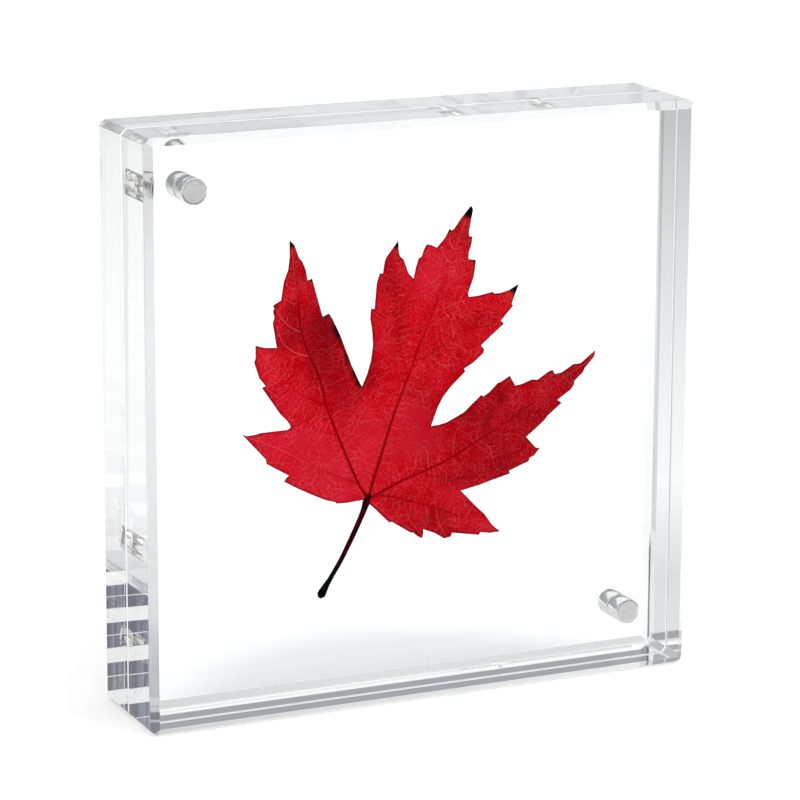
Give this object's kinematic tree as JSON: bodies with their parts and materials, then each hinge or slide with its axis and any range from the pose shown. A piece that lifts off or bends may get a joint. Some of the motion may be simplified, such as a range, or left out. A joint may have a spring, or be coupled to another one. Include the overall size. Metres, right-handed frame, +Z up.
{
  "type": "magnetic photo frame",
  "caption": "Freestanding square photo frame of thick clear bevelled acrylic blocks, held together by embedded rod magnets, with a pressed red maple leaf between them.",
  "frame": {"origin": "middle of the footprint, on the surface that the frame stands on", "axes": "+Z up, +X to the right seen from the front, +Y from the front face to the rear face"},
  "size_m": [0.1142, 0.026, 0.1143],
  "materials": {
    "acrylic": "clear cast acrylic with polished edges and bevels",
    "nickel": "bright nickel plating on rod magnets",
    "leaf": "dry pressed leaf, matt, with fine paler veins"
  },
  "bodies": {
    "rear": {"rear_block": "acrylic", "rear_magnet_upper": "nickel", "rear_magnet_lower": "nickel"},
    "front": {"front_block": "acrylic", "front_magnet_upper": "nickel", "front_magnet_lower": "nickel"},
    "leaf": {"pressed_leaf": "leaf"}
  },
  "joints": [
    {"name": "front_pull_off", "type": "slide", "parent": "rear", "child": "front", "axis": [0, -1, 0], "range_m": [0, 0.06]},
    {"name": "leaf_lift_out", "type": "slide", "parent": "rear", "child": "leaf", "axis": [0, 0, 1], "range_m": [0, 0.098]}
  ]
}
